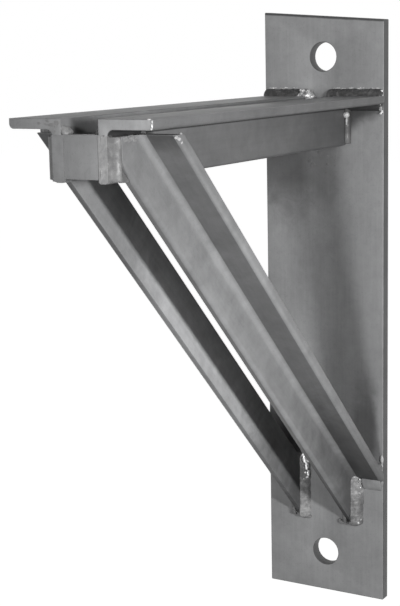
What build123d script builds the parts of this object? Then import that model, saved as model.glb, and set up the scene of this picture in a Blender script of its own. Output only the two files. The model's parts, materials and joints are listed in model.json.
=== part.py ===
import os
from math import atan2, cos, degrees, sin, tan

from build123d import *

# Wall bracket, welded from flat bar and rolled angle. Millimetres, +Z up.
# The origin is on the wall, midway between the two bolt holes: X runs across the bracket,
# and -Y out along the arm. The right half is drawn, and the left half mirrors it.

# Back plate: upright flat bar with one bolt hole near each end.
plate_width = 101.6
plate_height = 465.0
plate_thick = 9.5
plate_edge_radius = 0.8  # rolled bar's upright edges
top_edge_drop = 7.6  # the top edge is cut out of square, this much lower at its right end
bolt_hole = 22.2
hole_from_top = 31.0
hole_from_bottom = 33.0

# Arm: two angles back to back, with a slot between them for a hanging rod.
arm_leg = 38.1
arm_thick = 6.35
arm_root_radius = 4.0
arm_toe_radius = 3.0
arm_length = 326.5
arm_height = 404.0  # from the plate's lower edge to the arm's top
rod_slot = 27.0

# Braces: two lighter angles, lapped on the outer faces of the arm's upright legs.
brace_leg = 31.75
brace_thick = 6.35
brace_root_radius = 4.8
brace_toe_radius = 3.0
brace_foot_height = 106.0  # from the plate's lower edge to where a brace's back face meets it
brace_setback = 5.5  # how far behind the arm's end a brace is cut off
brace_shelf_run = 28.3  # how far a brace's level cut runs along under the arm's shelf

# Spacer: a piece of flat bar that closes the front of the slot.
spacer_height = 26.5
spacer_thick = 6.35
spacer_below_top = 9.2

# Weld beads. A leg is how far a bead reaches along each of the faces that it joins.
top_weld_leg = 5.5
slot_weld_leg = 6.0
shelf_weld_leg = 5.0
leg_weld_leg = 4.0
foot_weld_leg = 8.0
foot_front_weld_leg = 6.0
foot_back_weld_leg = 9.0
front_weld_leg = 4.5
back_weld_leg = 5.0
spacer_weld_leg = 4.5
seam_weld_width = 9.0
seam_weld_rise = 0.6  # ground nearly flush
bead_bulge = 0.12  # how round a bead's face is, as a share of its chord
bead_end = 1.5  # bare metal left at each end of a bead

# Places that follow from the sizes above.
plate_low = -(hole_from_bottom + plate_height - hole_from_top) / 2
plate_top = plate_low + plate_height
front_face = Plane.XZ.offset(plate_thick)
front_y = -plate_thick
slot_face = rod_slot / 2
arm_outer = slot_face + arm_thick
arm_toe = slot_face + arm_leg
arm_top = plate_low + arm_height
arm_end = front_y - arm_length
arm_under = arm_top - arm_thick
arm_bottom = arm_top - arm_leg
brace_outer = arm_outer + brace_thick
brace_toe = arm_outer + brace_leg
brace_top = arm_under - arm_root_radius
brace_foot = plate_low + brace_foot_height
brace_end = arm_end + brace_setback
brace_slant = atan2(brace_top - brace_foot, front_y - brace_end - brace_shelf_run)
slope = tan(brace_slant)
along_y = cos(brace_slant)
along_z = sin(brace_slant)
foot_low = brace_foot - brace_leg / along_y
foot_shelf = brace_foot - brace_thick / along_y
end_low = foot_low + (front_y - brace_end) * slope
spacer_top = arm_top - spacer_below_top
spacer_bottom = spacer_top - spacer_height

up_brace = Vector(0, -along_y, along_z)


def angle_section(plane, leg, thick, root_radius, toe_radius):
    """A rolled angle's outline: heel at the plane's origin, legs along x and down -y."""
    with BuildSketch(plane) as section:
        with BuildLine():
            Polyline((0, 0), (leg, 0), (leg, -thick), (thick, -thick), (thick, -leg), (0, -leg), close=True)
        make_face()
        fillet(section.vertices().sort_by_distance((thick, -thick))[0], root_radius)
        for toe in ((leg, -thick), (thick, -leg)):
            fillet(section.vertices().sort_by_distance(toe)[0], toe_radius)
    return section.sketch


def bead_section(plane, leg, rise=None, corner=90):
    """A weld bead's outline: one leg along x, the other turned from it by the corner's angle."""
    start = Vector(leg, 0)
    end = Vector(rise or leg, 0).rotate(Axis.Z, corner)
    chord = end - start
    crown = (start + end) / 2 + Vector(chord.Y, -chord.X) * bead_bulge
    with BuildSketch(plane) as section:
        with BuildLine():
            Line((0, 0), start)
            ThreePointArc(start, crown, end)
            Line(end, (0, 0))
        make_face()
    return section.sketch


with BuildPart() as back_plate:
    with BuildSketch(Plane.XZ):
        side = plate_width / 2
        with BuildLine():
            Polyline(
                (-side, plate_low),
                (side, plate_low),
                (side, plate_top - top_edge_drop / 2),
                (-side, plate_top + top_edge_drop / 2),
                close=True,
            )
        make_face()
        with Locations((0, plate_low + hole_from_bottom), (0, plate_top - hole_from_top)):
            Circle(bolt_hole / 2, mode=Mode.SUBTRACT)
    extrude(amount=plate_thick)
    fillet(back_plate.edges().filter_by(Axis.Z), plate_edge_radius)

with BuildPart() as arm_angle:
    heel = Plane(origin=(slot_face, front_y, arm_top), x_dir=(1, 0, 0), z_dir=(0, -1, 0))
    extrude(angle_section(heel, arm_leg, arm_thick, arm_root_radius, arm_toe_radius), amount=arm_length)

# A brace is cut flat on the plate, level under the arm's shelf and plumb at the front.
with BuildPart() as brace_angle_iron:
    heel = Plane(origin=(arm_outer, front_y, brace_foot), x_dir=(1, 0, 0), z_dir=up_brace)
    section = angle_section(heel, brace_leg, brace_thick, brace_root_radius, brace_toe_radius)
    extrude(section, amount=arm_length / along_y, both=True)
    split(bisect_by=front_face, keep=Keep.TOP)
    split(bisect_by=Plane.XY.offset(brace_top), keep=Keep.BOTTOM)
    split(bisect_by=Plane.XZ.offset(-brace_end), keep=Keep.BOTTOM)

with BuildPart() as slot_spacer:
    with BuildSketch(Plane.XZ.offset(-arm_end)):
        with Locations((0, (spacer_top + spacer_bottom) / 2)):
            Rectangle(rod_slot, spacer_height)
    extrude(amount=-spacer_thick)

# Arm to plate: along the top, down the slot face, and under the shelf round the root.
with BuildPart() as arm_top_weld:
    start = Plane(origin=(slot_face - slot_weld_leg, front_y, arm_top), x_dir=(0, 0, 1), z_dir=(1, 0, 0))
    run = arm_toe - bead_end - slot_face + slot_weld_leg
    extrude(bead_section(start, top_weld_leg), amount=run)

with BuildPart() as arm_slot_weld:
    start = Plane(origin=(slot_face, front_y, arm_top), x_dir=(0, -1, 0), z_dir=(0, 0, -1))
    extrude(bead_section(start, slot_weld_leg), amount=arm_leg - bead_end)

with BuildPart() as arm_under_weld:
    start = Plane(origin=(arm_outer, front_y, arm_under), x_dir=(1, 0, 0), z_dir=(0, 0, -1))
    extrude(bead_section(start, leg_weld_leg), amount=arm_leg - arm_thick - bead_end)
    start = Plane(origin=(arm_outer, front_y, arm_under), x_dir=(0, -1, 0), z_dir=(1, 0, 0))
    extrude(bead_section(start, shelf_weld_leg), amount=arm_toe - arm_outer - arm_toe_radius)
    add(arm_angle.part, mode=Mode.SUBTRACT)

# Brace foot to plate: up both faces of the upright leg, and along both faces of the back leg.
with BuildPart() as foot_outer_weld:
    start = Plane(origin=(brace_outer, front_y, foot_low), x_dir=(0, -1, 0), z_dir=(0, 0, 1))
    extrude(bead_section(start, foot_weld_leg), amount=foot_shelf - foot_low)
    add(brace_angle_iron.part, mode=Mode.SUBTRACT)

with BuildPart() as foot_slot_weld:
    start = Plane(origin=(arm_outer, front_y, foot_low), x_dir=(-1, 0, 0), z_dir=(0, 0, 1))
    extrude(bead_section(start, foot_weld_leg), amount=brace_foot + foot_back_weld_leg - foot_low)

with BuildPart() as foot_front_weld:
    start = Plane(origin=(brace_outer + foot_weld_leg, front_y, foot_shelf), x_dir=up_brace, z_dir=(1, 0, 0))
    run = brace_toe - bead_end - brace_outer - foot_weld_leg
    extrude(bead_section(start, foot_front_weld_leg, corner=90 + degrees(brace_slant)), amount=run)
    add(brace_angle_iron.part, mode=Mode.SUBTRACT)

with BuildPart() as foot_back_weld:
    start = Plane(origin=(arm_outer, front_y, brace_foot), x_dir=(0, 0, 1), z_dir=(1, 0, 0))
    section = bead_section(start, foot_back_weld_leg, corner=90 - degrees(brace_slant))
    extrude(section, amount=brace_leg - bead_end)

# Brace to arm: a full bead over the plumb cut and on down the brace's front edge, and up its back face.
with BuildPart() as brace_front_weld:
    start = Plane(origin=(arm_outer, brace_end, brace_top), x_dir=(1, 0, 0), z_dir=(0, 0, -1))
    section = bead_section(start, brace_thick, rise=brace_setback)
    extrude(section, amount=brace_top - arm_bottom - bead_end)
    start = Plane(origin=(arm_outer, brace_end, end_low), x_dir=(1, 0, 0), z_dir=-up_brace)
    section = bead_section(start, front_weld_leg)
    extrude(section, amount=(end_low - arm_bottom) / along_z)
    split(bisect_by=Plane.XY.offset(arm_bottom), keep=Keep.TOP)

with BuildPart() as brace_back_weld:
    back_y = front_y - (arm_bottom - brace_foot) / slope
    start = Plane(origin=(arm_outer, back_y, arm_bottom), x_dir=(1, 0, 0), z_dir=up_brace)
    section = bead_section(start, back_weld_leg)
    extrude(section, amount=(brace_top - arm_bottom) / along_z)
    split(bisect_by=Plane.XY.offset(arm_bottom), keep=Keep.TOP)
    split(bisect_by=Plane.XY.offset(brace_top), keep=Keep.BOTTOM)

# Spacer to arm: a short bead on top, inside the slot, and a flat one over the front seam.
with BuildPart() as spacer_top_weld:
    start = Plane(origin=(slot_face, arm_end, spacer_top), x_dir=(-1, 0, 0), z_dir=(0, 1, 0))
    extrude(bead_section(start, spacer_weld_leg), amount=spacer_thick)

with BuildPart() as front_seam_weld:
    middle = slot_face + arm_thick - seam_weld_width / 2
    face = Plane(origin=(middle, arm_end, spacer_bottom), x_dir=(1, 0, 0), z_dir=(0, 0, 1))
    with BuildSketch(face):
        with BuildLine():
            ThreePointArc(
                (-seam_weld_width / 2, 0), (0, -seam_weld_rise), (seam_weld_width / 2, 0)
            )
            Line((seam_weld_width / 2, 0), (-seam_weld_width / 2, 0))
        make_face()
    extrude(amount=spacer_height)

middle_pieces = {"back_plate": back_plate, "slot_spacer": slot_spacer}
right_pieces = {
    "arm_angle": arm_angle,
    "brace_angle": brace_angle_iron,
    "arm_top_weld": arm_top_weld,
    "arm_slot_weld": arm_slot_weld,
    "arm_under_weld": arm_under_weld,
    "foot_outer_weld": foot_outer_weld,
    "foot_slot_weld": foot_slot_weld,
    "foot_front_weld": foot_front_weld,
    "foot_back_weld": foot_back_weld,
    "brace_front_weld": brace_front_weld,
    "brace_back_weld": brace_back_weld,
    "spacer_top_weld": spacer_top_weld,
    "front_seam_weld": front_seam_weld,
}

os.makedirs("parts", exist_ok=True)
for name, piece in middle_pieces.items():
    piece.part.label = name
    export_step(piece.part, f"parts/{name}.step")
for name, right in right_pieces.items():
    with BuildPart() as left:
        mirror(right.part, about=Plane.YZ)
    for hand, piece in (("right", right), ("left", left)):
        piece.part.label = f"{name}_{hand}"
        export_step(piece.part, f"parts/{name}_{hand}.step")
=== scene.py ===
import json
import math
import random

import bpy
from mathutils import Matrix, Vector

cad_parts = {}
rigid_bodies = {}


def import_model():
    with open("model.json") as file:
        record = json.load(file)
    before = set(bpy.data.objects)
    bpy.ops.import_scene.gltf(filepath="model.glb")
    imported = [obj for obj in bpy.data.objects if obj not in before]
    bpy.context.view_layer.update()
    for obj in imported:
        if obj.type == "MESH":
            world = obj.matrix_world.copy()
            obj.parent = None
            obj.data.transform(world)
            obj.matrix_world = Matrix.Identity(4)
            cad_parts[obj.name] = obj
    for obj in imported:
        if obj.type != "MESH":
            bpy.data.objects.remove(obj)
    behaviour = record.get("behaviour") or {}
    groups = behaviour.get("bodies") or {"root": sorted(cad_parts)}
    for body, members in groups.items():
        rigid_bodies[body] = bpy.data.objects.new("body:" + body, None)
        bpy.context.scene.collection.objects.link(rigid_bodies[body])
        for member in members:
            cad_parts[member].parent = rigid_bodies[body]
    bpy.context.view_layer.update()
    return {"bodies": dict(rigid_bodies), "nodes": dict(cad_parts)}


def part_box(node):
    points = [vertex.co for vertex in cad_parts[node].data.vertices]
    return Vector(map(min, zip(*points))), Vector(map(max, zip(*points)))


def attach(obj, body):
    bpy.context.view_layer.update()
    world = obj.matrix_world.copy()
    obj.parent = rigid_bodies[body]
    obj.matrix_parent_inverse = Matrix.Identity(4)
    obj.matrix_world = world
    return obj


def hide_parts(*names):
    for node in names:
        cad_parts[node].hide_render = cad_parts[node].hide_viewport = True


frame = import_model()
BODY = next(iter(frame["bodies"]))

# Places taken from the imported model, in metres: +Z up, -Y out along the arm, +X to the right.
FRONT_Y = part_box("back_plate")[0].y
PLATE_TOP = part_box("back_plate")[1].z
PLATE_EDGE_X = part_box("back_plate")[1].x
ARM_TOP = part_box("arm_angle_right")[1].z
ARM_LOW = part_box("arm_angle_right")[0].z
ARM_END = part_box("arm_angle_right")[0].y
SLOT_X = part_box("arm_angle_right")[0].x
TOE_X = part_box("arm_angle_right")[1].x
LEG_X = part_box("brace_angle_right")[0].x
BRACE_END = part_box("brace_angle_right")[0].y
BRACE_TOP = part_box("brace_angle_right")[1].z
FOOT_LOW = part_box("brace_angle_right")[0].z
SPACER_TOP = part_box("slot_spacer")[1].z
SPACER_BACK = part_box("slot_spacer")[1].y

# Directions.
UP = Vector((0, 0, 1))
OUT = Vector((0, -1, 0))
SIDE = Vector((1, 0, 0))
ALONG = (0, 1, 0)
RISING = (0, 0, 1)
FALLING = (0, 0, -1)

# Sizes of the rolled sections and the plate, as the bracket is built.
ARM_THICK = 0.00635
BRACE_THICK = 0.00635
TOP_DROP = 0.0076  # how much lower the plate's top edge is at its right end
TOP_SKEW = TOP_DROP / (2 * PLATE_EDGE_X)
TOP_EDGE = PLATE_TOP - TOP_DROP / 2
SHELF_Z = ARM_TOP - ARM_THICK
BRACE_OUT = LEG_X + BRACE_THICK

# The brace's slant, from the two ends of its back face.
SHELF_RUN = 0.0283  # length of the level cut at the brace's top
FOOT_HEEL = -0.1275  # height of the back face's foot on the plate
SLANT = math.atan2(BRACE_TOP - FOOT_HEEL, FRONT_Y - BRACE_END - SHELF_RUN)
UP_BRACE = Vector((0, -math.cos(SLANT), math.sin(SLANT)))
BRACE_BACK = Vector((0, math.sin(SLANT), math.cos(SLANT)))
FOOT_SHELF = FOOT_HEEL - BRACE_THICK / math.cos(SLANT)  # height of the back leg's inner face there
BACK_START = FRONT_Y - (ARM_LOW - FOOT_HEEL) / math.tan(SLANT)  # where the back face reaches the arm's lower edge

# Faces that weld metal is cut back to: a point on each, and its direction out of the steel.
ON_PLATE = (Vector((0, FRONT_Y, 0)), OUT)
ON_ARM = (Vector((0, 0, ARM_TOP)), UP)
ON_SPACER = (Vector((0, 0, SPACER_TOP)), UP)
ON_FRONT = (Vector((0, ARM_END, 0)), OUT)
ON_LEG = (Vector((LEG_X, 0, 0)), SIDE)
ON_BRACE = (Vector((BRACE_OUT, 0, 0)), SIDE)
BRACE_INNER = (Vector((LEG_X, 0, 0)), -SIDE)
SLOT_FACE = (Vector((SLOT_X, 0, 0)), -SIDE)
SUNK = 0.0004  # how deep weld metal reaches into the steel that it sits on

# How the meshes are made.
MERGE_GAP = 0.00001
FLAT_ANGLE = math.radians(0.5)
SHARP_ANGLE = math.radians(35)
BEAD_ANGLE = math.radians(60)
BEAD_VOXEL = 0.0004
PUDDLE_PITCH = 0.3  # from one drop in a bead to the next, as a share of the bead's leg
DRESSED_COARSE = 0.0035  # spacing of the unevenness on dressed metal

# Looks that the steel's materials share.
SPECULAR = 0.3
SHADED_SPECULAR = 0.02  # for the left brace, which would otherwise mirror the white surroundings
STEEL_METALLIC = 0.03
STREAKS = 0.1
STREAK_STRETCH = 0.04  # the streaks' noise is drawn out along the bar by this scale


# Small helpers

def only(obj):
    """Deselects everything, then selects and activates one object."""
    bpy.ops.object.select_all(action="DESELECT")
    obj.select_set(True)
    bpy.context.view_layer.objects.active = obj


def apply_modifier(obj, kind, **settings):
    only(obj)
    modifier = obj.modifiers.new(kind.lower(), kind)
    for key, value in settings.items():
        setattr(modifier, key, value)
    bpy.ops.object.modifier_apply(modifier=modifier.name)


def settle(obj):
    """Puts an object's place into its mesh."""
    only(obj)
    bpy.ops.object.transform_apply(location=True, rotation=True, scale=True)


def mirrored(point, hand):
    """The same point on the right (hand 1) or left (hand -1) side of the bracket."""
    return Vector((point[0] * hand, point[1], point[2]))


def node_copy(node, name):
    """A merged copy of a CAD node's mesh, as a new object."""
    copy = bpy.data.objects.new(name, frame["nodes"][node].data.copy())
    bpy.context.scene.collection.objects.link(copy)
    only(copy)
    bpy.ops.object.mode_set(mode="EDIT")
    bpy.ops.mesh.select_all(action="SELECT")
    bpy.ops.mesh.remove_doubles(threshold=MERGE_GAP)
    bpy.ops.object.mode_set(mode="OBJECT")
    return copy


# Materials

def link(tree, a, b):
    tree.links.new(a, b)


def add_node(tree, kind, place=(0, 0), **values):
    node = tree.nodes.new(kind)
    node.location = place
    for key, value in values.items():
        setattr(node, key, value)
    return node


def set_inputs(node, **values):
    for label, value in values.items():
        node.inputs[label].default_value = value


def math_node(tree, operation, a, b, place=(0, 0), clamp=False):
    node = add_node(tree, "ShaderNodeMath", place, operation=operation, use_clamp=clamp)
    for socket, value in zip(node.inputs, (a, b)):
        if isinstance(value, (int, float)):
            socket.default_value = value
        else:
            link(tree, value, socket)
    return node.outputs[0]


def mix_colour(tree, blend, factor, a, b, place=(0, 0)):
    node = add_node(tree, "ShaderNodeMix", place, data_type="RGBA", blend_type=blend)
    for socket, value in zip((node.inputs[0], node.inputs[6], node.inputs[7]), (factor, a, b)):
        if isinstance(value, (int, float, tuple)):
            socket.default_value = value
        else:
            link(tree, value, socket)
    return node.outputs[2]


def ramp(tree, factor, stops, place=(0, 0)):
    node = add_node(tree, "ShaderNodeValToRGB", place)
    band = node.color_ramp
    while len(band.elements) < len(stops):
        band.elements.new(0.5)
    for element, (position, value) in zip(band.elements, stops):
        element.position = position
        element.color = (value, value, value, 1)
    link(tree, factor, node.inputs[0])
    return node.outputs[0]


def noise(tree, vector, scale, detail=4, rough=0.5, distortion=0, place=(0, 0)):
    node = add_node(tree, "ShaderNodeTexNoise", place)
    set_inputs(node, Detail=detail, Roughness=rough, Distortion=distortion)
    if isinstance(scale, (int, float)):
        set_inputs(node, Scale=scale)
    else:
        link(tree, scale, node.inputs["Scale"])
    link(tree, vector, node.inputs["Vector"])
    return node.outputs["Fac"]


def new_group(name, inputs, outputs):
    """A shader node group whose sockets are given as label: kind. Returns the tree and its two end nodes."""
    tree = bpy.data.node_groups.new(name, "ShaderNodeTree")
    for sockets, way in ((inputs, "INPUT"), (outputs, "OUTPUT")):
        for label, kind in sockets.items():
            tree.interface.new_socket(label, in_out=way, socket_type="NodeSocket" + kind)
    start = add_node(tree, "NodeGroupInput", (-1400, 0))
    end = add_node(tree, "NodeGroupOutput", (600, 0))
    return tree, start, end


def rolled_skin_group():
    """Hot-rolled steel's skin: broad clouds, smudges, fine streaks along the bar and small dark pits."""
    tree, start, end = new_group(
        "rolled skin",
        {"Along": "Vector", "Place": "Vector", "Tone": "Color", "Clouds": "Float", "Streaks": "Float",
         "Gloss": "Float"},
        {"Color": "Color", "Roughness": "Float", "Height": "Float"},
    )
    clouds = noise(tree, start.outputs["Place"], 26, 3, 0.55, 0.6, (-1100, 300))
    smudge = noise(tree, start.outputs["Place"], 120, 4, 0.6, 0.3, (-1100, 60))
    streaks = noise(tree, start.outputs["Along"], 420, 3, 0.6, 0, (-1100, -180))
    grain = noise(tree, start.outputs["Place"], 900, 2, 0.6, 0, (-1100, -420))
    broad = math_node(tree, "SUBTRACT", clouds, 0.5, (-850, 300))
    near = math_node(tree, "SUBTRACT", smudge, 0.5, (-850, 60))
    lines = math_node(tree, "SUBTRACT", streaks, 0.5, (-850, -180))
    cloud_sum = math_node(tree, "ADD", broad, math_node(tree, "MULTIPLY", near, 0.7, (-700, 60)), (-560, 180))
    cloud_part = math_node(tree, "MULTIPLY", cloud_sum, start.outputs["Clouds"], (-400, 180))
    streak_part = math_node(tree, "MULTIPLY", lines, start.outputs["Streaks"], (-400, -180))
    total = math_node(tree, "ADD", cloud_part, streak_part, (-240, 60))
    shade = math_node(tree, "ADD", math_node(tree, "MULTIPLY", total, 2.2, (-100, 60)), 1.0, (40, 60))
    pits = ramp(tree, grain, [(0.0, 0.88), (0.34, 0.92), (0.42, 1.0)], (-560, -420))
    value = math_node(tree, "MULTIPLY", shade, pits, (180, 0))
    tone = mix_colour(tree, "MULTIPLY", 1.0, start.outputs["Tone"], value, (340, 200))
    link(tree, tone, end.inputs["Color"])
    dull = math_node(tree, "MULTIPLY", total, -0.5, (180, -160))
    link(tree, math_node(tree, "ADD", dull, start.outputs["Gloss"], (340, -120), True), end.inputs["Roughness"])
    bumps = math_node(tree, "ADD", near, math_node(tree, "MULTIPLY", lines, 0.35, (-240, -360)), (-80, -300))
    link(tree, math_node(tree, "ADD", bumps, math_node(tree, "MULTIPLY", grain, 0.25, (-80, -460)), (80, -380)),
         end.inputs["Height"])
    return tree


def weld_skin_group():
    """Weld metal's skin: pale crests and specks over duller oxide."""
    tree, start, end = new_group(
        "weld skin",
        {"Place": "Vector", "Dull": "Color", "Bright": "Color", "Share": "Float", "Shine": "Float",
         "Fineness": "Float"},
        {"Color": "Color", "Roughness": "Float", "Metal": "Float", "Height": "Float"},
    )
    place = start.outputs["Place"]
    lumps = noise(tree, place, start.outputs["Fineness"], 3, 0.6, 0.5, (-1100, 200))
    specks = noise(tree, place, 1400, 2, 0.5, 0, (-1100, -60))
    mixed = math_node(tree, "ADD", math_node(tree, "MULTIPLY", lumps, 0.8, (-850, 200)),
                      math_node(tree, "MULTIPLY", specks, 0.2, (-850, -60)), (-700, 100))
    shifted = math_node(tree, "ADD", mixed, math_node(tree, "SUBTRACT", start.outputs["Share"], 0.5, (-700, -60)),
                        (-540, 60))
    mask = ramp(tree, shifted, [(0.38, 0.0), (0.5, 0.4), (0.64, 1.0)], (-380, 60))
    tone = mix_colour(tree, "MIX", mask, start.outputs["Dull"], start.outputs["Bright"], (-60, 160))
    link(tree, tone, end.inputs["Color"])
    link(tree, math_node(tree, "SUBTRACT", 0.52, math_node(tree, "MULTIPLY", mask, 0.16, (-60, -60)), (120, -40)),
         end.inputs["Roughness"])
    link(tree, math_node(tree, "MULTIPLY", mask, start.outputs["Shine"], (120, -200)), end.inputs["Metal"])
    link(tree, mixed, end.inputs["Height"])
    return tree


def soot_border_group():
    """The share of a darkening patch, used for weld soot and for painted shade: 0 outside it, rising to 1 from Start
    to End along a direction, in soft blots.
    """
    tree, start, end = new_group(
        "soot border",
        {"Place": "Vector", "Direction": "Vector", "Start": "Float", "End": "Float"},
        {"Share": "Float"},
    )
    across = add_node(tree, "ShaderNodeVectorMath", (-1100, 100), operation="DOT_PRODUCT")
    link(tree, start.outputs["Place"], across.inputs[0])
    link(tree, start.outputs["Direction"], across.inputs[1])
    blots = noise(tree, start.outputs["Place"], 55, 4, 0.6, 0.8, (-1100, -120))
    reach = math_node(tree, "SUBTRACT", start.outputs["End"], start.outputs["Start"], (-850, -300))
    far = math_node(tree, "SUBTRACT", across.outputs["Value"], start.outputs["Start"], (-850, 100))
    level = math_node(tree, "DIVIDE", far, reach, (-650, 100))
    wavy = math_node(tree, "ADD", level, math_node(tree, "MULTIPLY", math_node(
        tree, "SUBTRACT", blots, 0.5, (-850, -120)), 0.9, (-650, -120)), (-450, 0))
    curve = add_node(tree, "ShaderNodeMapRange", (-250, 0), interpolation_type="SMOOTHSTEP")
    link(tree, wavy, curve.inputs["Value"])
    link(tree, curve.outputs[0], end.inputs["Share"])
    return tree


ROLLED_SKIN = rolled_skin_group()
WELD_SKIN = weld_skin_group()
SOOT_AND_SHADE_BORDER = soot_border_group()


def start_material(name):
    material = bpy.data.materials.new(name)
    material.use_nodes = True
    tree = material.node_tree
    tree.nodes.clear()
    shader = add_node(tree, "ShaderNodeBsdfPrincipled", (500, 0))
    output = add_node(tree, "ShaderNodeOutputMaterial", (800, 0))
    link(tree, shader.outputs[0], output.inputs[0])
    place = add_node(tree, "ShaderNodeTexCoord", (-900, 0))
    return material, tree, shader, place.outputs["Object"]


def add_bump(tree, shader, height, strength, distance):
    bump = add_node(tree, "ShaderNodeBump", (280, -300))
    set_inputs(bump, Strength=strength, Distance=distance)
    link(tree, height, bump.inputs["Height"])
    link(tree, bump.outputs[0], shader.inputs["Normal"])


def soot_and_shade_darkened(tree, place, colour, patches):
    """Darkens a colour by patches of weld soot and of painted shade, each an amount and the borders (direction,
    start, end) that hold it.
    """
    for amount, borders in patches:
        share = amount
        for direction, start, end in borders:
            border = add_node(tree, "ShaderNodeGroup", (-350, 300), node_tree=SOOT_AND_SHADE_BORDER)
            link(tree, place, border.inputs["Place"])
            set_inputs(border, Direction=direction, Start=start, End=end)
            share = math_node(tree, "MULTIPLY", border.outputs["Share"], share, (-200, 300))
        undarkened = math_node(tree, "SUBTRACT", 1.0, share, (-80, 300))
        colour = mix_colour(tree, "MULTIPLY", 1.0, colour, undarkened, (0, 200))
    return colour


def rolled_steel(name, tone, lengthways, gloss=0.46, clouds=0.2, soot_and_shade=(), specular=SPECULAR):
    """Rolled bar whose streaks run along one direction: 'z', 'y' or 'brace'."""
    material, tree, shader, place = start_material(name)
    mapping = add_node(tree, "ShaderNodeMapping", (-650, -200), vector_type="POINT")
    set_inputs(mapping, Scale=(1, STREAK_STRETCH, 1) if lengthways == "y" else (1, 1, STREAK_STRETCH))
    if lengthways == "brace":
        turned = add_node(tree, "ShaderNodeMapping", (-800, -400), vector_type="POINT")
        set_inputs(turned, Rotation=(-(math.pi / 2 - SLANT), 0, 0))
        link(tree, place, turned.inputs["Vector"])
        link(tree, turned.outputs[0], mapping.inputs["Vector"])
    else:
        link(tree, place, mapping.inputs["Vector"])
    skin = add_node(tree, "ShaderNodeGroup", (-350, 0), node_tree=ROLLED_SKIN)
    link(tree, place, skin.inputs["Place"])
    link(tree, mapping.outputs[0], skin.inputs["Along"])
    # A trace of blue in the grey.
    set_inputs(skin, Tone=(tone, tone * 1.006, tone * 1.018, 1), Clouds=clouds, Streaks=STREAKS, Gloss=gloss)
    link(tree, soot_and_shade_darkened(tree, place, skin.outputs["Color"], soot_and_shade), shader.inputs["Base Color"])
    link(tree, skin.outputs["Roughness"], shader.inputs["Roughness"])
    shader.inputs["Metallic"].default_value = STEEL_METALLIC
    shader.inputs["Specular IOR Level"].default_value = specular
    add_bump(tree, shader, skin.outputs["Height"], 0.25, 0.0002)
    return material


def weld_metal(name, dull, bright, share, shine, fineness=330, bump=0.4, soot_and_shade=()):
    """Weld metal between a dull and a bright tone: 'share' is how much of it is bright, and 'shine' how metallic."""
    material, tree, shader, place = start_material(name)
    skin = add_node(tree, "ShaderNodeGroup", (-350, 0), node_tree=WELD_SKIN)
    link(tree, place, skin.inputs["Place"])
    set_inputs(skin, Dull=(dull, dull, dull * 1.01, 1), Bright=(bright, bright, bright, 1),
               Share=share, Shine=shine, Fineness=fineness)
    link(tree, soot_and_shade_darkened(tree, place, skin.outputs["Color"], soot_and_shade), shader.inputs["Base Color"])
    link(tree, skin.outputs["Roughness"], shader.inputs["Roughness"])
    link(tree, skin.outputs["Metal"], shader.inputs["Metallic"])
    shader.inputs["Specular IOR Level"].default_value = SPECULAR
    add_bump(tree, shader, skin.outputs["Height"], bump, 0.0003)
    return material


# Darkening patches, some weld soot, some painted shade and shadow, some both: an amount, and the borders that hold
# it. A border is a direction and the two places along it, in metres, where the darkening starts and where it is
# full.
# The arm darker towards the plate: weld soot by the root, and painted shade.
ARM_SOOT_AND_SHADE = (0.27, [(ALONG, -0.31, -0.015)])
# Painted shade on the slot's faces, full near the arm's front end.
SLOT_SHADE = (0.55, [(ALONG, -0.28, -0.32)])
# Both braces darker towards their feet: weld soot by the feet, and painted shade.
BRACE_SOOT_AND_SHADE = [(0.42, [(ALONG, -0.14, -0.02)]), (0.38, [(ALONG, -0.05, -0.018)])]
# The right brace and the braces' edges darker towards their tops: soot by the top weld, and painted shade under the
# arm's end.
TOP_SOOT_AND_SHADE = (0.3, [(ALONG, -0.2, -0.32)])
# The right brace's inside face darker towards its foot: weld soot, and painted shade.
INSIDE_LOW_SOOT_AND_SHADE = (0.4, [(ALONG, -0.12, -0.06)])
# Painted shade on the right brace's inside face just under the shelf.
INSIDE_TOP_SHADE = (0.45, [(RISING, 0.147, 0.158)])
# The left brace darker towards its foot: weld soot, and painted shade.
LEFT_LOW_SOOT_AND_SHADE = (0.3, [(ALONG, -0.12, -0.06)])
# The left brace darker towards its top: soot by the top weld, and painted shade under the arm's end.
LEFT_TOP_SOOT_AND_SHADE = (0.52, [(ALONG, -0.205, -0.275)])
# Painted shadow of the right flange on the plate below it, with its diagonal lower edge, and the root weld's soot.
ROOT_SHADOW_AND_SOOT = (0.74, [(SIDE, 0.012, 0.018), ((-0.46, 0, 0.888), 0.113, 0.124), (FALLING, -0.17, -0.166)])
# Painted shadow of the arm on the plate below it.
UNDER_ARM_SHADOW = (0.3, [(RISING, 0.062, 0.112), (FALLING, -0.14, -0.13), (-SIDE, -0.018, -0.006)])
# More painted shadow of the arm on the plate, towards the left.
UNDER_ARM_LEFT_SHADOW = (0.34, [(RISING, 0.062, 0.112), (FALLING, -0.14, -0.13), (-SIDE, 0.006, 0.026)])
# Painted shadow of the right brace on the plate beside its foot.
HEEL_SHADOW = (0.45, [(FALLING, 0.03, 0.085), (RISING, -0.14, -0.125), (SIDE, 0.02, 0.03),
                    (-SIDE, -0.048, -0.041)])
# Painted shade on the beads under the arm's shelf, full at their tops.
UNDER_BEAD_SHADE = (0.6, [(RISING, 0.136, 0.152)])
# The right foot's outer bead darker towards its lower end.
FOOT_BEAD_LOW_DARKENING = (0.32, [(FALLING, 0.142, 0.152)])
# A thin band along the plate's top edge, darkened.
TOP_EDGE_DARKENING = (0.78, [((TOP_SKEW, 0, 1), TOP_EDGE - 0.0024, TOP_EDGE - 0.0012)])

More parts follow.
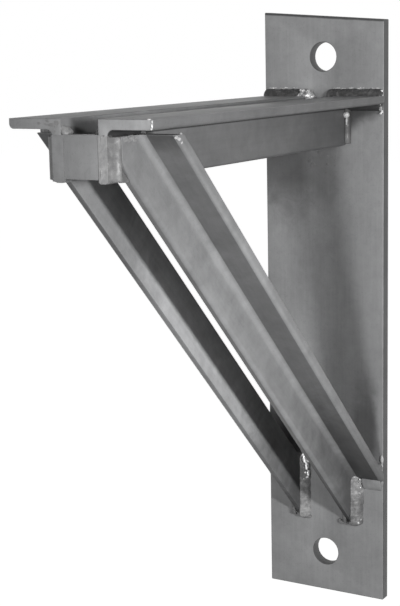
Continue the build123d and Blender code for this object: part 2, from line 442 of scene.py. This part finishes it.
PLATE_STEEL = rolled_steel("plate skin", 0.292, "z",
                           soot_and_shade=(ROOT_SHADOW_AND_SOOT, UNDER_ARM_SHADOW, UNDER_ARM_LEFT_SHADOW, HEEL_SHADOW, TOP_EDGE_DARKENING))
PLATE_SIDE = rolled_steel("plate side", 0.09, "z", gloss=0.5)
PLATE_EDGE = rolled_steel("plate edge", 0.09, "z", gloss=0.5)
ARM_STEEL = rolled_steel("arm skin", 0.175, "y", soot_and_shade=(ARM_SOOT_AND_SHADE,))
# The arms' upper faces take a lighter copy of the arm's steel: painted light from above.
ARM_TOP_LIT_STEEL = rolled_steel("arm top", 0.27, "y", clouds=0.25)
# The rounded corner under the shelf, near black: painted shade in the crease.
ARM_HOLLOW_SHADE = rolled_steel("shaded hollow", 0.04, "y", gloss=0.55)
# The slot's faces take a lighter copy of the arm's steel: painted light in the shaded slot.
SLOT_LIT_STEEL = rolled_steel("slot side", 0.42, "y", soot_and_shade=(SLOT_SHADE,))
# The arms' rounded edges, a little lighter than their faces: painted highlight.
ARM_EDGE = rolled_steel("arm edge", 0.2, "y", gloss=0.4)
BRACE_STEEL = rolled_steel("brace skin", 0.32, "brace", clouds=0.28, soot_and_shade=(*BRACE_SOOT_AND_SHADE, TOP_SOOT_AND_SHADE))
# The braces' inside faces, which face down and forward, take a darker copy of the brace's steel: painted shade.
BRACE_INSIDE = rolled_steel("brace inside", 0.17, "brace", clouds=0.28,
                            soot_and_shade=(*BRACE_SOOT_AND_SHADE, INSIDE_LOW_SOOT_AND_SHADE, INSIDE_TOP_SHADE))
# The left brace takes lighter copies of the braces' steel, painted light; its inside face is darker again, painted
# shade.
LEFT_BRACE_LIT_STEEL = rolled_steel("left brace skin", 0.54, "brace", clouds=0.28,
                                soot_and_shade=(*BRACE_SOOT_AND_SHADE, LEFT_LOW_SOOT_AND_SHADE, LEFT_TOP_SOOT_AND_SHADE), specular=SHADED_SPECULAR)
LEFT_BRACE_INSIDE = rolled_steel("left brace inside", 0.34, "brace", clouds=0.28,
                                 soot_and_shade=(*BRACE_SOOT_AND_SHADE, LEFT_TOP_SOOT_AND_SHADE), specular=SHADED_SPECULAR)
WORN_EDGE = rolled_steel("worn edge", 0.32, "y", gloss=0.4, soot_and_shade=(*BRACE_SOOT_AND_SHADE, TOP_SOOT_AND_SHADE))
# The brace's level top cut, darker than the other cut ends: painted shade in the gap under the shelf.
SHADED_LEVEL_CUT = rolled_steel("level cut", 0.15, "y", gloss=0.5)
CUT_STEEL = rolled_steel("cut end", 0.245, "z", gloss=0.44)
BRIGHT_CUT = rolled_steel("bright cut end", 0.37, "z", gloss=0.4, clouds=0.3)
DRESSED_WELD = rolled_steel("dressed weld", 0.21, "z", clouds=0.3)
# Darker copy of the dressed weld for its faces that turn to the side: painted shade.
DRESSED_SHADED_SIDE = rolled_steel("dressed side", 0.12, "z", clouds=0.3)
DARK_WELD = weld_metal("dark weld", 0.045, 0.14, 0.45, 0.2)
# Weld under the arm's shelf, dark and darkest at its top: painted shade under the shelf.
UNDER_SHADED_WELD = weld_metal("shaded under-shelf weld", 0.085, 0.115, 0.5, 0.05, 200, 0.1, soot_and_shade=(UNDER_BEAD_SHADE,))
PLAIN_WELD = weld_metal("plain weld", 0.17, 0.25, 0.5, 0.1, 200, 0.25)
PALE_WELD = weld_metal("pale weld", 0.18, 0.36, 0.5, 0.1, 220, 0.35)
FOOT_WELD = weld_metal("foot weld", 0.18, 0.38, 0.5, 0.1, 220, 0.35, soot_and_shade=(FOOT_BEAD_LOW_DARKENING,))
CORNER_WELD = weld_metal("corner weld", 0.28, 0.42, 0.5, 0.05, 220, 0.2)
# Darker copy of the corner weld for its faces that turn to the side, and for the left gap's fill: painted shade.
CORNER_SHADED_SIDE_WELD = weld_metal("corner side weld", 0.12, 0.2, 0.5, 0.05, 220, 0.2)
SPARK_WELD = weld_metal("sparkling weld", 0.22, 0.9, 0.52, 0.6, 420, 0.6)
SPOT_WELD = weld_metal("bright spot", 0.35, 0.62, 0.55, 0.1, 300, 0.3)
SHINE_WELD = weld_metal("bare weld", 0.5, 0.95, 0.75, 0.9, 300, 0.3)


# Steel pieces: the imported nodes' own shapes, with rounded edges, worn on the braces and with a painted highlight
# on the arms

def steel_piece(node, name, skin, edge, edge_width, faces=()):
    """A merged copy of a CAD node, its corners rounded. 'faces' holds a test and a material for odd faces."""
    piece = node_copy(node, name)
    piece.data.materials.clear()
    for material in (skin, edge, *(material for _, material in faces)):
        piece.data.materials.append(material)
    bpy.ops.object.mode_set(mode="EDIT")
    bpy.ops.mesh.select_all(action="SELECT")
    bpy.ops.mesh.dissolve_limited(angle_limit=FLAT_ANGLE)
    bpy.ops.object.mode_set(mode="OBJECT")
    for face in piece.data.polygons:
        for i, (test, _) in enumerate(faces):
            if test(face.normal, face.center):
                face.material_index = i + 2
    apply_modifier(piece, "BEVEL", width=edge_width, segments=2, limit_method="ANGLE", angle_limit=SHARP_ANGLE,
                   material=1)
    bpy.ops.object.shade_smooth_by_angle(angle=SHARP_ANGLE)
    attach(piece, BODY)
    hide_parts(node)


# Tests that pick out a piece's faces, by a face's direction and place.

def thin_side(normal, centre):
    return abs(normal.y) < 0.5


def front_cut(normal, centre):
    return normal.y < -0.99 and centre.y < ARM_END + 0.001


def upper_face(normal, centre):
    return normal.z > 0.99


def shelf_root(normal, centre):
    """The rounded corner between the arm's shelf and its upright leg."""
    near_leg = abs(centre.x) < SLOT_X + ARM_THICK + 0.006
    return near_leg and -0.99 < normal.z < -0.05 and centre.z > SHELF_Z - 0.0045


def slot_side(normal, centre):
    return abs(normal.x) > 0.99 and abs(centre.x) < SLOT_X + 0.001


def inside_face(normal, centre):
    return normal.dot(BRACE_BACK) < -0.99


def level_cut(normal, centre):
    return normal.z > 0.99 and centre.z > BRACE_TOP - 0.001


ARM_FACES = [(upper_face, ARM_TOP_LIT_STEEL), (shelf_root, ARM_HOLLOW_SHADE), (slot_side, SLOT_LIT_STEEL)]
steel_piece("back_plate", "plate", PLATE_STEEL, PLATE_EDGE, 0.0005, [(thin_side, PLATE_SIDE)])
steel_piece("arm_angle_right", "arm_right", ARM_STEEL, ARM_EDGE, 0.0003, [(front_cut, BRIGHT_CUT), *ARM_FACES])
steel_piece("arm_angle_left", "arm_left", ARM_STEEL, ARM_EDGE, 0.0003, [(front_cut, CUT_STEEL), *ARM_FACES])
steel_piece("brace_angle_right", "brace_right", BRACE_STEEL, WORN_EDGE, 0.0003,
            [(level_cut, SHADED_LEVEL_CUT), (inside_face, BRACE_INSIDE)])
steel_piece("brace_angle_left", "brace_left", LEFT_BRACE_LIT_STEEL, WORN_EDGE, 0.0003,
            [(level_cut, SHADED_LEVEL_CUT), (inside_face, LEFT_BRACE_INSIDE)])
steel_piece("slot_spacer", "spacer", ARM_STEEL, CUT_STEEL, 0.0004, [(front_cut, CUT_STEEL)])


# Weld beads: overlapping puddles, skinned over and cut back to just inside the steel

def puddle_shape():
    """One drop of weld metal, modelled once and copied."""
    bpy.ops.mesh.primitive_uv_sphere_add(segments=20, ring_count=14, radius=1)
    shape = bpy.context.object
    shape.name = "puddle"
    return shape


PUDDLE = puddle_shape()


def lay_puddles(start, end, face_a, face_b, leg, rng):
    """Puddles along one straight run, seated in the corner between the faces a and b."""
    run = end - start
    along = run.normalized()
    crown = (face_a + face_b).normalized()
    across = along.cross(crown).normalized()
    half = face_a.angle(face_b) / 2
    count = max(2, round(run.length / (leg * PUDDLE_PITCH)))
    laid = []
    for i in range(count + 1):
        # Each drop varies a little in size, seat and lean. The other factors shape it to the corner.
        size = leg * rng.uniform(0.95, 1.04)
        rise = size * math.cos(half)
        centre = start + run * (i / count) + crown * (rise * 0.62 + size * rng.uniform(-0.02, 0.02))
        centre += across * size * rng.uniform(-0.03, 0.03)
        wide = size * math.sin(half) * 1.2
        tall = rise * 0.56 + size * 0.02
        lean = Matrix.Rotation(math.radians(16 + rng.uniform(-4, 4)), 3, across)
        axes = Matrix((along * size * 0.5, across * wide, crown * tall)).transposed()
        laid.append((lean @ axes, centre))
    return laid


def skin_over(bead, voxel, lump, coarse=0.0028, swell=0.5, melt=1):
    """Gives a closed shape one skin, slightly uneven. 'swell' below 0.5 makes it fuller, 'melt' smoother."""
    apply_modifier(bead, "REMESH", mode="VOXEL", voxel_size=voxel)
    texture = bpy.data.textures.new(bead.name + " lumps", "CLOUDS")
    texture.noise_scale = coarse
    apply_modifier(bead, "DISPLACE", texture=texture, strength=lump, mid_level=swell)
    apply_modifier(bead, "SMOOTH", factor=0.5, iterations=melt)


def puddle_parts(puddles):
    """One mesh object for each puddle."""
    parts = []
    for axes, centre in puddles:
        part = PUDDLE.copy()
        part.data = PUDDLE.data.copy()
        part.data.transform(Matrix.Translation(centre) @ axes.to_4x4())
        bpy.context.scene.collection.objects.link(part)
        parts.append(part)
    return parts


def joined(parts, name):
    bpy.ops.object.select_all(action="DESELECT")
    for part in parts:
        part.select_set(True)
    bpy.context.view_layer.objects.active = parts[0]
    if len(parts) > 1:
        bpy.ops.object.join()
    bead = bpy.context.view_layer.objects.active
    bead.name = name
    return bead


def skin_puddles(name, puddles, voxel, lump, melt=1):
    """Joins puddles into one closed bead."""
    bead = joined(puddle_parts(puddles), name)
    skin_over(bead, voxel, lump, melt=melt)
    return bead


def trim(bead, point, outward, depth=SUNK):
    """Cuts away what lies deeper than 'depth' behind a face, and closes the cut."""
    only(bead)
    bpy.ops.object.mode_set(mode="EDIT")
    bpy.ops.mesh.select_all(action="SELECT")
    bpy.ops.mesh.bisect(plane_co=point - outward * depth, plane_no=outward, use_fill=True, clear_inner=True)
    bpy.ops.object.mode_set(mode="OBJECT")


def finish_bead(bead, material, nodes=()):
    bead.data.materials.clear()
    bead.data.materials.append(material)
    only(bead)
    bpy.ops.object.shade_smooth_by_angle(angle=BEAD_ANGLE)
    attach(bead, BODY)
    if nodes:
        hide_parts(*nodes)


def weld_bead(name, node, run, leg, cuts, material, hand, seed, lump=0.0003):
    """A rippled bead. 'run' holds its start, its end and the faces it joins, on the right, which hand -1 mirrors."""
    corner = [mirrored(point, hand) for point in run]
    bead = skin_puddles(name, lay_puddles(*corner, leg, random.Random(seed)), BEAD_VOXEL, lump)
    for point, outward in cuts:
        trim(bead, mirrored(point, hand), mirrored(outward, hand))
    finish_bead(bead, material, [node])


def smooth_bead(name, node, material, swell, melt, lump=0.0003):
    """A bead dressed nearly smooth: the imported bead's own shape with a slightly uneven skin."""
    bead = node_copy(node, name)
    skin_over(bead, BEAD_VOXEL, lump, DRESSED_COARSE, swell, melt)
    finish_bead(bead, material, [node])


def on_plate(x, z):
    """A point on the plate's front face."""
    return Vector((x, FRONT_Y, z))


# Where the top bead starts, the legs of three beads and their metal differ from side to side.
for hand, side, seed, top_start, outer_leg, slot_leg, spacer_leg, outer_metal, slot_metal, spacer_metal in (
    (1, "right", 10, 0.0065, 0.008, 0.005, 0.004, FOOT_WELD, PLAIN_WELD, DARK_WELD),
    (-1, "left", 60, 0.0215, 0.005, 0.007, 0.005, PLAIN_WELD, PALE_WELD, PALE_WELD),
):
    weld_bead(f"top_bead_{side}", f"arm_top_weld_{side}",
              (on_plate(top_start, ARM_TOP), on_plate(TOE_X - 0.0035, ARM_TOP), UP, OUT),
              0.0056, [ON_PLATE, ON_ARM], DARK_WELD, hand, seed + 1)
    weld_bead(f"slot_bead_{side}", f"arm_slot_weld_{side}",
              (on_plate(SLOT_X, ARM_TOP - 0.005), on_plate(SLOT_X, ARM_LOW + 0.003), -SIDE, OUT),
              0.0055, [ON_PLATE, SLOT_FACE], DARK_WELD, hand, seed + 2)
    smooth_bead(f"under_bead_{side}", f"arm_under_weld_{side}", UNDER_SHADED_WELD, 0.4, 4, 0.0001)
    weld_bead(f"foot_outer_bead_{side}", f"foot_outer_weld_{side}",
              (on_plate(BRACE_OUT, FOOT_LOW + 0.002), on_plate(BRACE_OUT, FOOT_SHELF + 0.006), SIDE, OUT),
              outer_leg, [ON_PLATE, ON_BRACE], outer_metal, hand, seed + 4, 0.0006)
    weld_bead(f"foot_slot_bead_{side}", f"foot_slot_weld_{side}",
              (on_plate(LEG_X, FOOT_LOW + 0.002), on_plate(LEG_X, FOOT_HEEL + 0.005), -SIDE, OUT),
              slot_leg, [ON_PLATE, BRACE_INNER], slot_metal, hand, seed + 5, 0.0006)
    smooth_bead(f"foot_front_bead_{side}", f"foot_front_weld_{side}", PLATE_STEEL, 0.5, 6)
    weld_bead(f"foot_back_bead_{side}", f"foot_back_weld_{side}",
              (on_plate(LEG_X + 0.003, FOOT_HEEL), on_plate(TOE_X - 0.0045, FOOT_HEEL), UP, UP_BRACE),
              0.0085, [ON_PLATE], PLAIN_WELD, hand, seed + 7)
    back_low = Vector((LEG_X, BACK_START, ARM_LOW))
    back_run = (BRACE_TOP - ARM_LOW) / math.sin(SLANT) - 0.003
    weld_bead(f"brace_back_bead_{side}", f"brace_back_weld_{side}",
              (back_low, back_low + UP_BRACE * back_run, SIDE, BRACE_BACK),
              0.005, [ON_LEG], PALE_WELD, hand, seed + 9)
    weld_bead(f"spacer_bead_{side}", f"spacer_top_weld_{side}",
              (Vector((SLOT_X, ARM_END + 0.0025, SPACER_TOP)), Vector((SLOT_X, SPACER_BACK, SPACER_TOP)), -SIDE, UP),
              spacer_leg, [SLOT_FACE, ON_SPACER, (ON_FRONT[0], -OUT)], spacer_metal, hand, seed + 10)


def front_corner(hand, side, inner_x, outer_x, proud, material, side_material):
    """Weld ground flush over the arm leg's end, from the spacer's seam back over the brace's plumb cut."""
    # The pad stops just short of the leg's lower edge and of the spacer's top.
    low = Vector((inner_x, ARM_END - proud, ARM_LOW + 0.0006))
    high = Vector((outer_x, ARM_END + 0.004, SPACER_TOP - 0.0004))
    bpy.ops.mesh.primitive_cube_add(size=1, location=mirrored((low + high) / 2, hand))
    pad = bpy.context.object
    pad.scale = high - low
    settle(pad)
    name, node = f"front_bead_{side}", f"brace_front_weld_{side}"
    bead = joined([node_copy(node, name), pad], name)
    skin_over(bead, BEAD_VOXEL, 0.0002, DRESSED_COARSE, 0.48, 8)
    # Nothing stands more than half a millimetre in front of the arm's end.
    trim(bead, Vector((0, ARM_END - 0.0005, 0)), -OUT, 0)
    finish_bead(bead, material, [f"front_seam_weld_{side}", node])
    # The faces that turn to the side take the darker side material, which paints shade on them.
    bead.data.materials.append(side_material)
    for face in bead.data.polygons:
        if abs(face.normal.x) > 0.15:  # a face that turns away to the side
            face.material_index = 1


front_corner(1, "right", 0.0126, 0.0204, 0.0002, CORNER_WELD, CORNER_SHADED_SIDE_WELD)
front_corner(-1, "left", 0.0112, 0.0206, 0.00015, DRESSED_WELD, DRESSED_SHADED_SIDE)


def drops(name, spots, material, cuts=(), voxel=0.0003, lump=0.0003, melt=1):
    """Small drops of weld metal in one piece. 'spots' hold a centre and the three half sizes, in millimetres."""
    puddles = []
    for x, y, z, wide, deep, tall in spots:
        puddles.append((Matrix.Diagonal((wide / 1000, deep / 1000, tall / 1000)), Vector((x, y, z)) / 1000))
    bead = skin_puddles(name, puddles, voxel, lump, melt)
    for point, outward in cuts:
        trim(bead, point, outward)
    finish_bead(bead, material)


def scattered(seed, count, low, high, size, flat=(1, 1, 1)):
    """Drops strewn evenly through a box, each of a random size."""
    rng = random.Random(seed)
    spots = []
    for _ in range(count):
        place = [rng.uniform(a, b) for a, b in zip(low, high)]
        radius = rng.uniform(*size)
        spots.append((*place, *(radius * f for f in flat)))
    return spots


# Places in millimetres, for the drops.
plate_y = FRONT_Y * 1000
top_z = ARM_TOP * 1000
end_y = ARM_END * 1000
foot_z = FOOT_LOW * 1000
brace_x = BRACE_OUT * 1000

# The crater of weld by the slot, on the left angle's corner.
drops("crater", [
    (-13.0, plate_y - 2.6, top_z + 0.6, 6.4, 3.6, 4.2), (-17.6, plate_y - 3.0, top_z + 0.6, 2.6, 3.0, 2.2),
    (-8.4, plate_y - 2.6, top_z - 1.0, 2.8, 3.0, 2.6), (-15.6, plate_y - 3.0, top_z + 3.8, 2.2, 2.4, 1.8),
    (-11.2, plate_y - 2.8, top_z + 3.6, 2.4, 2.4, 1.9), (-13.0, plate_y - 5.4, top_z + 0.4, 2.4, 1.6, 2.2),
    (-11.0, plate_y - 5.0, top_z - 2.4, 2.8, 1.8, 2.2), (-16.4, plate_y - 5.0, top_z + 1.6, 1.6, 1.4, 1.4),
] + scattered(5, 18, (-19.5, plate_y - 6.0, top_z - 2.5), (-7.0, plate_y - 3.5, top_z + 4.6), (0.6, 1.3)),
    SPARK_WELD, [ON_PLATE], lump=0.0006)
# Crumbs along the top beads' upper toes, and round the right flange's tip.
drops("toe_crumbs",
      scattered(7, 22, (-48, plate_y - 0.3, top_z + 5.8), (-22, plate_y, top_z + 6.6), (0.3, 0.8), (1.9, 0.6, 0.7))
      + scattered(8, 28, (9, plate_y - 0.3, top_z + 5.6), (48, plate_y, top_z + 6.5), (0.3, 0.8), (1.9, 0.6, 0.7)),
      SPARK_WELD, [ON_PLATE])
drops("tip_crumbs",
      scattered(9, 20, (48.6, plate_y - 2.4, top_z - 14), (50.4, plate_y - 0.3, top_z - 6), (0.4, 1.0))
      + scattered(10, 12, (49.4, plate_y - 2.0, top_z - 1), (50.2, plate_y - 0.3, top_z + 4.5), (0.5, 1.0)),
      SPARK_WELD, [ON_PLATE])
# A bright spot on the bead that runs down the right arm angle's leg.
drops("root_spot", [(21.2, plate_y - 3.8, 156.2, 2.6, 2.4, 2.4), (21.2, plate_y - 3.2, 151.2, 0.9, 1.0, 3.0)],
      SPOT_WELD, [ON_PLATE, ON_LEG])
# Splashes on the plate below the arm, and at the right brace's heel.
drops("plate_splashes",
      scattered(12, 16, (-12, plate_y, 115), (10.5, plate_y + 0.1, 131), (0.6, 1.4), (1.4, 0.25, 1)),
      PLAIN_WELD, [ON_PLATE])
drops("heel_spot", [(49.8, plate_y - 0.3, -116.0, 1.6, 0.8, 3.6), (49.4, plate_y - 0.2, -121.5, 1.4, 0.6, 2.4)],
      SPOT_WELD, [ON_PLATE])
# Where each visible foot bead was finished off.
drops("slot_finish", [
    (-16.4, plate_y - 5.0, -121.8, 2.9, 3.2, 4.4), (-14.8, plate_y - 4.4, -128.5, 2.0, 2.4, 3.4),
    (-13.6, plate_y - 3.8, -134.5, 1.4, 2.0, 2.6),
] + scattered(14, 12, (-17.5, plate_y - 6.4, -141), (-12.8, plate_y - 3.8, -124), (0.5, 1.0)),
    SHINE_WELD, [ON_PLATE, (-ON_LEG[0], SIDE)])
drops("outer_finish", [
    (30.5, plate_y - 3.4, -170.0, 1.6, 1.4, 1.6), (32.0, plate_y - 2.0, -167.6, 1.0, 1.0, 1.4),
] + scattered(15, 12, (28.5, plate_y - 5.0, -150), (33.0, plate_y - 2.6, -131), (0.4, 0.9)),
    SPARK_WELD, [ON_PLATE, ON_BRACE])
# Weld metal run under each brace's toe and into the right foot's corners, left as it flowed.
drops("toe_wraps", [
    (16.6, plate_y - 0.8, foot_z - 0.6, 4.8, 2.0, 1.9), (13.2, plate_y - 0.5, foot_z + 0.2, 1.9, 1.4, 1.6),
    (-16.8, plate_y - 0.8, foot_z - 0.6, 4.8, 2.0, 1.9), (-20.6, plate_y - 0.5, foot_z + 0.4, 1.9, 1.4, 1.6),
], PLAIN_WELD, [ON_PLATE], lump=0.0001, melt=4)
drops("heel_blend", [(33.0, plate_y - 1.2, -134.6, 3.0, 1.9, 2.7), (50.2, plate_y - 0.8, -135.0, 1.3, 1.6, 2.4)],
      PLATE_STEEL, [ON_PLATE])
# Dark weld metal filling the gap between the left brace's top and the shelf above it: painted shade in the gap.
drops("left_gap_fill", [(-24.0 - 3.0 * i, -305.5, 161.4, 2.6, 3.0, 3.6) for i in range(9)], CORNER_SHADED_SIDE_WELD,
      voxel=0.0004)
# Front end: the bright line up the right seam, burrs on the flange's saw cut, a smear over the left corner.
drops("seam_marks", [
    (15.6, end_y, 158.4, 0.5, 0.45, 2.8), (14.8, end_y, 138.5, 0.6, 0.35, 3.4), (17.6, end_y, 160.6, 0.9, 0.4, 0.8),
], PALE_WELD, [ON_FRONT], 0.00025, 0.00015)
drops("flange_burr", [
    (50.9, end_y, 169.2, 0.6, 0.5, 1.3), (50.8, end_y, 166.6, 0.6, 0.5, 1.6),
    (50.2, end_y, 164.9, 0.9, 0.45, 0.7), (49.0, end_y, 170.6, 1.4, 0.4, 0.4),
], SPARK_WELD, [ON_FRONT], 0.00025, 0.00015)
drops("corner_smear",
      scattered(17, 22, (-30, end_y + 0.6, 166.6), (-15, end_y + 0.75, 169.6), (1.3, 2.1), (1.3, 0.42, 0.75))
      + scattered(18, 10, (-18.5, end_y + 0.6, 162.6), (-14.6, end_y + 0.75, 167), (1.2, 1.6), (0.8, 0.5, 1.2)),
      PLAIN_WELD, [ON_FRONT], lump=0.0001, melt=3)
# Mottled weld metal along the right brace's top edge, and tacks on its toe.
drops("brace_top_smear",
      scattered(19, 30, (brace_x - 0.1, -329, 157.0), (brace_x, -303, 159.8), (0.9, 1.6), (0.2, 1.5, 0.8)),
      PALE_WELD, [ON_BRACE], 0.00025, 0.0001, 2)
drops("toe_tack", [
    (50.4, -309.4, 158.6, 1.0, 2.0, 1.1), (50.5, -306.4, 157.8, 1.0, 2.2, 1.3),
    (50.5, -304.2, 158.8, 1.0, 1.2, 2.6), (50.6, -304.0, 156.0, 0.9, 1.0, 1.8),
], SPOT_WELD)
drops("toe_spot", [(50.6, -279.6, 137.4, 0.8, 1.1, 1.4)], SPARK_WELD)
bpy.data.objects.remove(PUDDLE)


# Stage: floor, lamps, world and camera

def seen_rays(tree):
    """1 for the rays that the camera sees by, straight, mirrored or refracted, and 0 for the rest."""
    path = add_node(tree, "ShaderNodeLightPath", (-500, 0))
    seen = math_node(tree, "MAXIMUM", path.outputs["Is Camera Ray"], path.outputs["Is Glossy Ray"], (-300, 0))
    return math_node(tree, "MAXIMUM", seen, path.outputs["Is Transmission Ray"], (-150, 0))


def stage_floor():
    """A wide pale floor, far below, that the camera sees as white."""
    bpy.ops.mesh.primitive_plane_add(size=30, location=(0, 0, -1.25))
    floor = bpy.context.object
    floor.name = "floor"
    material = bpy.data.materials.new("pale floor")
    material.use_nodes = True
    tree = material.node_tree
    tree.nodes.clear()
    output = add_node(tree, "ShaderNodeOutputMaterial", (600, 0))
    paint = add_node(tree, "ShaderNodeBsdfDiffuse", (0, 100))
    paint.inputs[0].default_value = (0.8, 0.8, 0.8, 1)
    glow = add_node(tree, "ShaderNodeEmission", (0, -100))
    link(tree, seen_rays(tree), glow.inputs["Strength"])
    both = add_node(tree, "ShaderNodeAddShader", (300, 0))
    link(tree, paint.outputs[0], both.inputs[0])
    link(tree, glow.outputs[0], both.inputs[1])
    link(tree, both.outputs[0], output.inputs[0])
    floor.data.materials.append(material)


def stage_world(ambient):
    """White surroundings for the camera, which light the bracket only by 'ambient'."""
    world = bpy.data.worlds.new("studio")
    bpy.context.scene.world = world
    world.use_nodes = True
    tree = world.node_tree
    tree.nodes.clear()
    output = add_node(tree, "ShaderNodeOutputWorld", (600, 0))
    back = add_node(tree, "ShaderNodeBackground", (300, 0))
    lifted = math_node(tree, "MULTIPLY", seen_rays(tree), 1.0 - ambient, (0, 0))
    link(tree, math_node(tree, "ADD", lifted, ambient, (150, 0)), back.inputs["Strength"])
    back.inputs["Color"].default_value = (1, 1, 1, 1)
    link(tree, back.outputs[0], output.inputs[0])


def set_up(name, data, place, right, up, back):
    """Puts a lamp or a camera into the scene, facing away from 'back'."""
    obj = bpy.data.objects.new(name, data)
    bpy.context.scene.collection.objects.link(obj)
    obj.matrix_world = Matrix.Translation(place) @ Matrix((right, up, back)).transposed().to_4x4()
    return obj


def soft_lamp(name, place, width, height, power, upright=UP):
    """A softbox at 'place' that faces the bracket, its height along 'upright'."""
    data = bpy.data.lights.new(name, "AREA")
    data.shape = "RECTANGLE"
    data.size = width
    data.size_y = height
    data.energy = power
    back = (Vector(place) - Vector(LAMP_AIM)).normalized()
    up = (upright - back * upright.dot(back)).normalized()
    set_up(name, data, place, up.cross(back), up, back)


# The photograph's own viewpoint, solved from its edges. The focal length and the height are in pixels.
FOCAL_LENGTH = 1433
PHOTO_HEIGHT = 606
AZIMUTH, ELEVATION, ROLL = (math.radians(a) for a in (30.95, 10.23, -1.21))
CAMERA_PLACE = (0.493, -1.0245, 0.2119)
LAMP_AIM = (0, -0.15, 0.03)


def aim_camera():
    data = bpy.data.cameras.new("photo view")
    data.sensor_fit = "AUTO"
    data.sensor_width = 36
    data.lens = 36 * FOCAL_LENGTH / PHOTO_HEIGHT
    data.clip_start = 0.05
    data.clip_end = 60
    back = Vector((math.sin(AZIMUTH) * math.cos(ELEVATION), -math.cos(AZIMUTH) * math.cos(ELEVATION),
                   math.sin(ELEVATION)))
    right = Vector((math.cos(AZIMUTH), math.sin(AZIMUTH), 0))
    up = back.cross(right)
    rolled_right = right * math.cos(ROLL) + up * math.sin(ROLL)
    rolled_up = up * math.cos(ROLL) - right * math.sin(ROLL)
    bpy.context.scene.camera = set_up("photo view", data, CAMERA_PLACE, rolled_right, rolled_up, back)


stage_floor()
stage_world(0.005)
soft_lamp("front softbox", (0.24, -1.5, 0.2), 0.12, 0.12, 7.5)
soft_lamp("side strip box", (1.02, -0.747, 0.161), 0.08, 0.4, 11, UP_BRACE)
aim_camera()
bpy.context.scene.view_settings.view_transform = "Standard"
